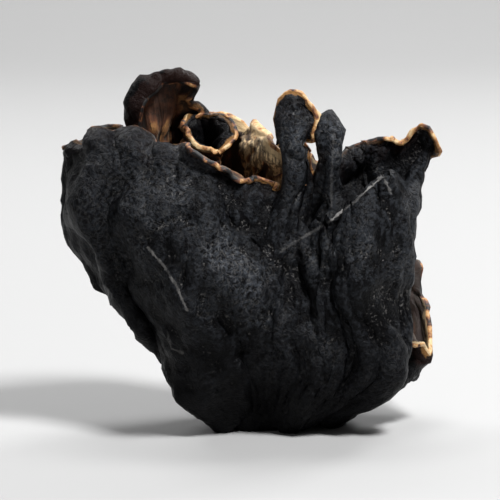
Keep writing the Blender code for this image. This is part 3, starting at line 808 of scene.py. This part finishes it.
def spanned(value, width, low):
    """A value from 0 to 1, moved to a span of this width that starts at low."""
    return number("MULTIPLY_ADD", value, width, low)


def scaled(vector, factor):
    """A vector times a number."""
    made = node(tree_of(vector), "VectorMath", operation="SCALE", Scale=factor)
    fill(made.inputs[0], vector)
    return made.outputs[0]


def vectors(operation, one, other=None):
    """The result of one sum of vectors: a vector, or a number for DOT_PRODUCT and LENGTH."""
    made = node(tree_of(one), "VectorMath", operation=operation)
    fill(made.inputs[0], one)
    if other is not None:
        fill(made.inputs[1], other)
    return made.outputs["Value" if operation in ("DOT_PRODUCT", "LENGTH") else "Vector"]


def ranged(value, low, high, start=0.0, end=1.0):
    """A value between low and high, moved smoothly to between start and end."""
    made = node(tree_of(value), "MapRange", interpolation_type="SMOOTHSTEP", clamp=True,
                Value=value, From_Min=low, From_Max=high, To_Min=start, To_Max=end)
    return made.outputs[0]


def cloud(place, detail=3.0, rough=0.55, warp=0.0):
    """Cloudy noise of size one, about 0.5 in the middle."""
    return node(tree_of(place), "TexNoise", Vector=place, Scale=1.0, Detail=detail,
                Roughness=rough, Distortion=warp).outputs[0]


def thin_line(noisy, width, start=1.0, end=0.0):
    """Lines of this width where noise passes its middle value: from start on them to end beside
    them."""
    off = number("ABSOLUTE", number("SUBTRACT", noisy, 0.5))
    return ranged(off, 0.0, width, start, end)


def places_in_mm(tree):
    """Where a point lies on the ear, in mm."""
    return scaled(node(tree, "TexCoord").outputs["Object"], 1 / MM)


def known(place, name, kind="Fac"):
    """What the mesh knows at a place."""
    return node(tree_of(place), "Attribute", attribute_name=name).outputs[kind]


def new_effect(effect, ins):
    """The node group of an effect, with named inputs, each with its number or with None for a
    vector, and an output for each thing that it gives."""
    tree = bpy.data.node_groups.new(effect.__name__, "ShaderNodeTree")
    for label, value in ins.items():
        kind = "NodeSocketVector" if value is None else "NodeSocketFloat"
        socket = tree.interface.new_socket(label, in_out="INPUT", socket_type=kind)
        if value is not None:
            socket.default_value = value
    given = effect(tree.nodes.new("NodeGroupInput").outputs)
    for label in given:
        tree.interface.new_socket(label, in_out="OUTPUT", socket_type="NodeSocketFloat")
    leave = tree.nodes.new("NodeGroupOutput").inputs
    for label, value in given.items():
        fill(leave[label], value)
    return tree


def placed(group, **fills):
    """An effect placed in a material, with its own values."""
    return node(tree_of(*fills.values()), "Group", node_tree=group, **fills).outputs


def wrinkled_hide(ins):
    """Fine wrinkles of dried skin: cells with round backs between thin folded lines."""
    place = scaled(ins["Place"], number("DIVIDE", 1.0, ins["Size"]))
    soft = cloud(place, 2.0, 0.5, 0.6)
    finer = cloud(scaled(place, 2.7), 3.0, 0.6, 0.3)
    height = plus(times(thin_line(soft, 0.16, 0.0, 1.0), 0.7),
                  times(thin_line(finer, 0.12, 0.0, 1.0), 0.3))
    return {"Height": height, "Line": thin_line(soft, 0.05)}


def mottling(ins):
    """Patches of one size, by how much of the surface they cover."""
    noisy = cloud(scaled(ins["Place"], number("DIVIDE", 1.0, ins["Size"])), 4.0, 0.6, 0.4)
    edge = spanned(ins["Cover"], -0.4, 0.7)
    return {"Mask": ranged(noisy, number("SUBTRACT", edge, ins["Soft"]), plus(edge, ins["Soft"]))}


def drawn_streaks(ins):
    """Streaks that run from the root to the rim."""
    thin = number("DIVIDE", 1.0, ins["Size"])
    long = number("DIVIDE", thin, ins["Stretch"])
    joined = node(tree_of(thin), "CombineXYZ", X=thin, Y=thin, Z=long).outputs[0]
    noisy = cloud(vectors("MULTIPLY", ins["Laid"], joined), 4.0, 0.6, 0.5)
    return {"Mask": ranged(noisy, 0.38, 0.62), "Line": thin_line(noisy, 0.035)}


def worn_ridges(ins):
    """Where ridges stand out enough to be lighter: rubbed wear, and a painted highlight on the
    ridges.
    """
    broken = ranged(cloud(scaled(ins["Place"], 1.1), 4.0, 0.65), 0.4, 0.62)
    return {"Mask": times(ranged(ins["Ridge"], ins["From"], ins["To"]), broken)}


def folded_line(ins):
    """The painted highlight along the top of a sharp fold between two places, as seen from the
    front.
    """
    passed = vectors("SUBTRACT", ins["Seen"], ins["From"])
    run = vectors("SUBTRACT", ins["To"], ins["From"])
    share = number("DIVIDE", vectors("DOT_PRODUCT", passed, run),
                   vectors("DOT_PRODUCT", run, run), clamp=True)
    away = vectors("LENGTH", vectors("SUBTRACT", passed, scaled(run, share)))
    return {"Mask": ranged(away, times(ins["Width"], 0.4), ins["Width"], 1.0, 0.0)}


def rim_band(ins):
    """A band of uneven width along the rim."""
    uneven = ranged(cloud(scaled(ins["Place"], 0.45), 4.0, 0.6), 0.3, 0.7, 0.3, 1.7)
    width = times(ins["Width"], uneven)
    return {"Mask": ranged(ins["Distance"], times(width, 0.5), width, 1.0, 0.0)}


def patches(effects, place, kind):
    """Patches of one kind: its size in mm, how much it covers and how soft its edges are."""
    size, cover, soft = kind
    return placed(effects["mottling"], Place=place, Size=size, Cover=cover, Soft=soft)["Mask"]


def along_rim(effects, place, width):
    """A band of about this width along the rim."""
    far = known(place, "rim_distance")
    return placed(effects["rim_band"], Distance=far, Width=width, Place=place)["Mask"]


def painted(colour, *layers):
    """A colour under layers, each given as its share and its own colour."""
    for share, over in layers:
        made = node(tree_of(share), "Mix", data_type="RGBA", clamp_factor=True)
        for socket, value in zip((0, 6, 7), (share, colour, over)):
            fill(made.inputs[socket], value)
        colour = made.outputs[2]
    return colour


def ramp(share, stops):
    """The colour at a share of the way through these stops."""
    made = node(tree_of(share), "ValToRGB", Fac=share)
    for _ in stops[2:]:
        made.color_ramp.elements.new(0.5)
    for element, (where, colour) in zip(made.color_ramp.elements, stops):
        element.position = where
        element.color = colour
    return made.outputs[0]


def new_material(name, **plain):
    """A new material and its shader's sockets, with the values that are plain all over."""
    material = bpy.data.materials.new(name)
    material.use_nodes = True
    shader = material.node_tree.nodes["Principled BSDF"]
    for label, value in plain.items():
        fill(shader.inputs[label.replace("_", " ")], value)
    return material, shader.inputs


def relief(height, deep):
    """Relief too fine for the mesh, up to this deep, in mm."""
    return node(tree_of(height), "Bump", Height=height, Distance=deep * MM, Strength=1.0).outputs[0]


def seen_from_front(place):
    """Where a point is seen from the front and a little above: its x and its height."""
    parts = node(tree_of(place), "SeparateXYZ", Vector=place).outputs
    high = number("MULTIPLY_ADD", parts["Y"], SEEN_SLOPE, parts["Z"])
    return node(tree_of(place), "CombineXYZ", X=parts["X"], Z=high).outputs[0]


def painted_crest_highlights(effects, place):
    """The painted highlight on the sharp folded lines of the front: pale crest tops, where the
    face looks to the front and is not closed in.
    """
    seen = seen_from_front(place)
    uneven = ranged(cloud(scaled(place, 0.9), 3.0, 0.6), 0.35, 0.65, 0.35, 1.3)
    width = times(uneven, HIGHLIGHT_WIDTH)
    highlighted = 0.0
    for _, _, strength, points in FOLDED_LINES:
        for (x, high), (next_x, next_high) in zip(points[:-1], points[1:]):
            line = placed(effects["folded_line"], Seen=seen, From=(x, 0, high),
                          To=(next_x, 0, next_high), Width=width)["Mask"]
            highlighted = number("MAXIMUM", highlighted, times(line, strength))
    unoccluded = ranged(known(place, "occlusion"), *CREST_HIGHLIGHTS_BY_OCCLUSION)
    faded = ranged(cloud(scaled(place, 0.4), 3.0, 0.6), 0.36, 0.58, 0.3, 1.1)
    return times(highlighted, known(place, "in_front"), unoccluded, faded)


def bloom_kept_and_shaded(place):
    """How much bloom a point shows: less near a brown margin, and, as painted shade, less where it
    is closed in, low down and far to the left."""
    parts = node(tree_of(place), "SeparateXYZ", Vector=place).outputs
    margin = ranged(known(place, "rim_distance"), *MARGIN_REACH)
    return times(
        ranged(known(place, "occlusion"), *PAINTED_SHADE_IN_RECESSES),
        ranged(parts["Z"], *PAINTED_SHADE_LOW_DOWN),
        ranged(parts["X"], *PAINTED_SHADE_ON_LEFT),
        ranged(times(margin, known(place, "rim_brown")), *BLOOM_BY_MARGIN),
    )


def black_skin(effects):
    """The outer face: black, leathery and finely wrinkled, with a grey bloom that is dimmed in
    places as painted shade, and painted highlights on the crests.
    """
    material, shader = new_material("black_skin", Specular_IOR_Level=0.06)
    place = places_in_mm(material.node_tree)
    ridge = known(place, "ridge")
    wide = placed(effects["wrinkled_hide"], Place=place, Size=3.4)
    fine = placed(effects["wrinkled_hide"], Place=place, Size=1.3)
    worn = placed(effects["worn_ridges"], Ridge=ridge, From=0.04, To=0.22, Place=place)["Mask"]
    regions = patches(effects, place, BLOOM_REGIONS)
    flecks = patches(effects, place, BLOOM_FLECKS)
    specks = times(patches(effects, place, DUST_SPECKS), ranged(ridge, *DUSTY_HOLLOWS))
    kept_and_shaded = bloom_kept_and_shaded(place)
    # lighter on ridges: rubbed wear and painted highlight
    bloom = number("MAXIMUM", times(spanned(regions, 0.92, 0.08), flecks), times(worn, 0.4))
    # painted shade: the bloom, fine lines and specks are dimmed in recesses, low down and on the
    # left
    bloom = times(bloom, kept_and_shaded)
    margin = times(along_rim(effects, place, BROWN_BAND), known(place, "rim_brown"))
    pale = times(along_rim(effects, place, PALE_BAND), known(place, "rim_pale"))
    fill(shader["Base Color"], painted(
        BLACK,
        (bloom, BLOOM),
        (times(margin, 0.6), MARGIN_BROWN),
        (times(fine["Line"], regions, kept_and_shaded, 0.14), HIGHLIGHT_AND_LINE_GREY),
        (times(specks, kept_and_shaded, 0.45), DUST),
        # painted highlights on the crests of the folded lines
        (times(painted_crest_highlights(effects, place), 0.75), HIGHLIGHT_AND_LINE_GREY),
        (pale, OCHRE),
    ))
    fill(shader["Roughness"], ranged(bloom, 0.0, 1.0, 0.40, 0.62))
    height = plus(times(wide["Height"], 0.55), times(fine["Height"], 0.45))
    fill(shader["Normal"], relief(height, 0.22))
    return material


def velvet_inside(effects):
    """The inner face: short velvet, mottled from red brown to cream, with dark flecks."""
    material, shader = new_material(
        "velvet_inside", Roughness=0.78, Sheen_Weight=0.12, Sheen_Roughness=0.5,
        Sheen_Tint=(0.9, 0.72, 0.5, 1))
    place = places_in_mm(material.node_tree)
    laid = known(place, "laid_out", "Vector")
    tone = known(place, "tone")
    paleness = known(place, "rim_pale")
    streaks = placed(effects["drawn_streaks"], Laid=laid, Size=1.4, Stretch=7.0)
    broad = placed(effects["drawn_streaks"], Laid=laid, Size=5.0, Stretch=3.0)
    uneven = plus(
        spanned(cloud(scaled(place, 1 / 6.0), 4.0, 0.6, 0.5), 1.3, -0.65),
        spanned(streaks["Mask"], 0.5, -0.25),
        spanned(broad["Mask"], 0.16, -0.08),
        # painted shade and highlight: the velvet is darker in the hollows between ribs and lighter
        # on their ridges
        ranged(known(place, "ridge"), -0.3, 0.3, -0.8, 0.4),
    )
    # the tone is partly painted shade: dark velvet near the rim of the curl and the loop
    light = number("MULTIPLY_ADD", uneven, spanned(tone, 1.2, 0.05), tone, clamp=True)
    combed = cloud(vectors("MULTIPLY", place, STRIPES), 3.0, 0.6, 0.2)
    stripes = times(ranged(combed, 0.46, 0.56, 1.0, 0.0), known(place, "ribbed"))
    spots = times(patches(effects, place, VELVET_SPOTS),
                  spanned(along_rim(effects, place, SPOTTED_BAND), 0.7, 0.15))
    pale = along_rim(effects, place, spanned(paleness, 1.5, 0.3))
    fill(shader["Base Color"], painted(
        ramp(light, VELVET_COLOURS),
        (times(patches(effects, place, VELVET_FLECKS), 0.55), DARK_SPOT),
        (times(streaks["Line"], 0.3), DARK_SPOT),
        (times(stripes, 0.8), RED_BROWN),
        (spots, DARK_SPOT),
        (times(along_rim(effects, place, OUTLINE_BAND), 0.5), DARK_SPOT),
        (times(pale, paleness), CREAM),
    ))
    felt = cloud(scaled(place, 1 / 0.3), 2.0, 0.6)
    fill(shader["Normal"], relief(plus(times(streaks["Mask"], 0.6), times(felt, 0.4)), 0.16))
    return material


def pale_rim(effects):
    """The edge between the faces: cream where the rim is pale, else dark brown."""
    material, shader = new_material("pale_rim", Roughness=0.6)
    place = places_in_mm(material.node_tree)
    noisy = cloud(scaled(place, 1 / 2.4), 4.0, 0.65, 0.3)
    light = plus(known(place, "rim_pale"), spanned(noisy, 3.4, -1.6))
    fill(shader["Base Color"], ramp(light, RIM_COLOURS))
    fill(shader["Normal"], relief(cloud(scaled(place, 1 / 0.5), 3.0, 0.6), 0.12))
    return material


def cut_root(effects):
    """The flat cut through the root: pale pith with darker threads."""
    material, shader = new_material("cut_root", Roughness=0.8)
    place = places_in_mm(material.node_tree)
    threads = patches(effects, place, CUT_THREADS)
    fill(shader["Base Color"], painted(
        CHESTNUT,
        (patches(effects, place, PITH_PATCHES), PITH),
        (times(threads, 0.6), RED_BROWN),
    ))
    fill(shader["Normal"], relief(threads, 0.1))
    return material


def put(name, data):
    """A new object in the scene."""
    made = bpy.data.objects.new(name, data)
    bpy.context.scene.collection.objects.link(made)
    return made


def dried_ear():
    """The whole ear: one grown piece, in place of its plain solid."""
    ear = put("ear_sheet", ear_mesh())
    effects = {effect.__name__: new_effect(effect, ins) for effect, ins in (
        (wrinkled_hide, {"Place": None, "Size": 1.0}),
        (mottling, {"Place": None, "Size": 1.0, "Cover": 0.5, "Soft": 0.08}),
        (drawn_streaks, {"Laid": None, "Size": 1.0, "Stretch": 6.0}),
        (worn_ridges, {"Ridge": 0.0, "From": 0.05, "To": 0.2, "Place": None}),
        (folded_line, {"Seen": None, "From": None, "To": None, "Width": 0.5}),
        (rim_band, {"Distance": 50.0, "Width": 1.0, "Place": None}),
    )}
    for finish in (black_skin, velvet_inside, pale_rim, cut_root):
        ear.data.materials.append(finish(effects))
    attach(ear, "root")
    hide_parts("fruit_body")


def aim(thing, place, target):
    """Put a light or camera somewhere, looking at a point."""
    thing.location = place
    thing.rotation_mode = "QUATERNION"
    thing.rotation_quaternion = (Vector(target) - Vector(place)).to_track_quat("-Z", "Y")


def pale_stage():
    """A pale floor that sweeps up into a backdrop behind the ear."""
    profile = [(-STAGE_NEAR, 0.0), (STAGE_FAR - STAGE_SWEEP, 0.0)]
    for step in range(1, SWEEP_STEPS + 1):
        turned = math.pi / 2 * step / SWEEP_STEPS
        profile.append((STAGE_FAR - STAGE_SWEEP * (1 - math.sin(turned)),
                        STAGE_SWEEP * (1 - math.cos(turned))))
    profile.append((STAGE_FAR, STAGE_HIGH))
    points = [(x, y, z) for y, z in profile for x in (-STAGE_WIDE / 2, STAGE_WIDE / 2)]
    faces = [(row, row + 1, row + 3, row + 2) for row in range(0, len(points) - 2, 2)]
    mesh = bpy.data.meshes.new("pale_stage")
    mesh.from_pydata(points, [], faces)
    mesh.shade_smooth()
    mesh.materials.append(new_material("pale_paper", Base_Color=STAGE_GREY, Roughness=0.7)[0])
    put("pale_stage", mesh)


def soft_light(name, place, target, size, power):
    """A square soft box."""
    light = bpy.data.lights.new(name, "AREA")
    light.size = size
    light.energy = power
    aim(put(name, light), place, target)


def studio(middle):
    """Soft light: a key from the upper right, a weak fill, two lights on the rims and one on
    the backdrop."""
    for name, place, target, size, power in STUDIO_LIGHTS:
        soft_light(name, place, target or middle, size, power)
    world = bpy.data.worlds.new("studio")
    bpy.context.scene.world = world
    world.use_nodes = True
    sky = world.node_tree.nodes["Background"].inputs
    sky["Color"].default_value = (1, 1, 1, 1)
    sky["Strength"].default_value = SKY


def camera(middle):
    """A long lens, a little above the ear, looking straight at its front."""
    eye = bpy.data.cameras.new("camera")
    eye.lens = LENS
    eye.clip_start = 0.01
    seat = put("camera", eye)
    high = math.radians(CAMERA_HIGH)
    back = Vector((0, -math.cos(high), math.sin(high)))
    aim(seat, middle + CAMERA_FAR * back, middle)
    bpy.context.scene.camera = seat


dried_ear()
low, high = map(Vector, CAD_BOX)
middle = (low + high) / 2
pale_stage()
studio(middle)
camera(middle)
bpy.context.scene.view_settings.view_transform = "Standard"
